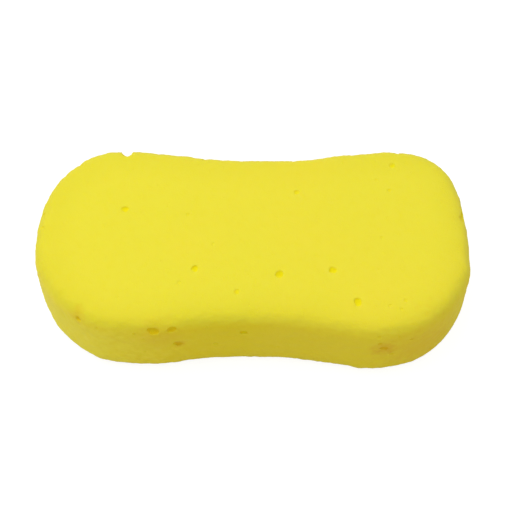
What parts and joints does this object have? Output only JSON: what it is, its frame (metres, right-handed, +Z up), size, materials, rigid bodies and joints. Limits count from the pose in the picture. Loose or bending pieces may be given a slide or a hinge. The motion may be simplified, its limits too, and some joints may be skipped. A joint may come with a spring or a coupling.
{
  "type": "cleaning sponge",
  "caption": "Bone-shaped foam cleaning sponge: one soft block with two rounded lobes, a waist to grip, rolled edges and open pores.",
  "frame": {"origin": "centre of the underside, on the surface that the sponge rests on", "axes": "+X along the length towards the right lobe, +Y towards the back, +Z up through the thickness"},
  "size_m": [0.22, 0.11, 0.047],
  "materials": {
    "foam": "matte open-cell polyurethane foam, yellow"
  },
  "bodies": {
    "root": {"sponge_block": "foam"}
  },
  "joints": []
}
